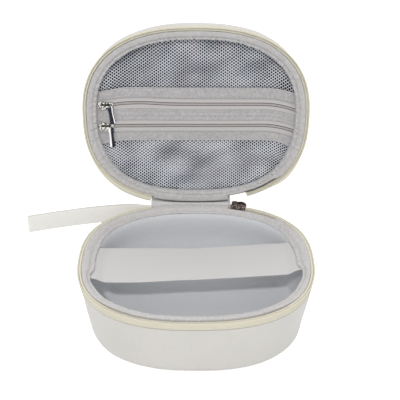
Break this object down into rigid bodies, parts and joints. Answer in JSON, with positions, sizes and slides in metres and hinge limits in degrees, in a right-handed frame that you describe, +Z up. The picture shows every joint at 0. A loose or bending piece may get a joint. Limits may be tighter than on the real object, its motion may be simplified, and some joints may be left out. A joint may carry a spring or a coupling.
{
  "type": "breast pump case",
  "caption": "Oval hard zip case, lid open on a fabric hinge: padded mouth, elastic strap across the tub, zipped mesh pocket in the lid, wrist loop.",
  "frame": {"origin": "middle of the flat underside of the tub", "axes": "+Z up, +X to the right along the case, -Y towards the front; the lid is hinged at the back, on +Y"},
  "size_m": [0.2987, 0.2505, 0.2655],
  "materials": {
    "leather": "matte pebbled leather cloth",
    "zip_tape": "woven polyester tape",
    "zip_coil": "nylon coil",
    "lining": "smooth knitted lining",
    "jersey": "soft knitted jersey",
    "elastic": "ribbed woven elastic",
    "net": "knitted net",
    "band": "knitted cloth over a coil zip",
    "chrome": "polished",
    "dark_metal": "dark plated zinc"
  },
  "bodies": {
    "base": {"base_shell": "leather", "base_lining": "lining", "base_binding": "jersey", "base_zip_tape": "zip_tape", "base_zip_coil": "zip_coil", "elastic_strap": "elastic", "hinge_cover": "leather", "hinge_tape": "jersey"},
    "lid": {"lid_shell": "leather", "lid_lining": "lining", "lid_binding": "jersey", "lid_zip_tape": "zip_tape", "lid_zip_coil": "zip_coil", "mesh_upper": "net", "mesh_lower": "net", "pocket_band_top": "band", "pocket_band_middle": "band", "pocket_band_bottom": "band", "upper_zip_outer_side": "band", "upper_zip_inner_side": "band", "lower_zip_outer_side": "band", "lower_zip_inner_side": "band"},
    "main_slider": {"main_slider": "dark_metal"},
    "main_pull": {"main_pull": "dark_metal"},
    "upper_slider": {"upper_slider": "chrome"},
    "upper_pull": {"upper_pull": "chrome"},
    "lower_slider": {"lower_slider": "chrome"},
    "lower_pull": {"lower_pull": "chrome"},
    "wrist_strap": {"wrist_strap": "leather"}
  },
  "joints": [
    {"name": "lid_hinge", "type": "hinge", "parent": "base", "child": "lid", "pos_m": [0, 0.0969, 0.0735], "axis": [1, 0, 0], "range_deg": [0, 95.3], "deforming": ["hinge_cover", "hinge_tape"]},
    {"name": "main_slider_travel", "type": "hinge", "parent": "base", "child": "main_slider", "pos_m": [0.01954, -0.02142, 0.0735], "axis": [0, 0, -1], "range_deg": [0, 10]},
    {"name": "main_pull_swing", "type": "hinge", "parent": "main_slider", "child": "main_pull", "pos_m": [0.0413, 0.09506, 0.0735], "axis": [0.2222, 0.975, 0], "range_deg": [-60, 60]},
    {"name": "upper_slider_travel", "type": "slide", "parent": "lid", "child": "upper_slider", "axis": [1, 0, 0], "range_m": [0, 0.165]},
    {"name": "upper_pull_swing", "type": "hinge", "parent": "upper_slider", "child": "upper_pull", "pos_m": [-0.08783, 0.11485, 0.1804], "axis": [0, -0.9957, 0.0924], "range_deg": [-25, 90]},
    {"name": "lower_slider_travel", "type": "slide", "parent": "lid", "child": "lower_slider", "axis": [1, 0, 0], "range_m": [0, 0.165]},
    {"name": "lower_pull_swing", "type": "hinge", "parent": "lower_slider", "child": "lower_pull", "pos_m": [-0.08783, 0.1127, 0.1572], "axis": [0, -0.9957, 0.0924], "range_deg": [-18, 90]},
    {"name": "wrist_strap_swing", "type": "hinge", "parent": "base", "child": "wrist_strap", "pos_m": [-0.044, 0.09411, 0.062], "axis": [0, 0, -1], "range_deg": [0, 110]}
  ]
}
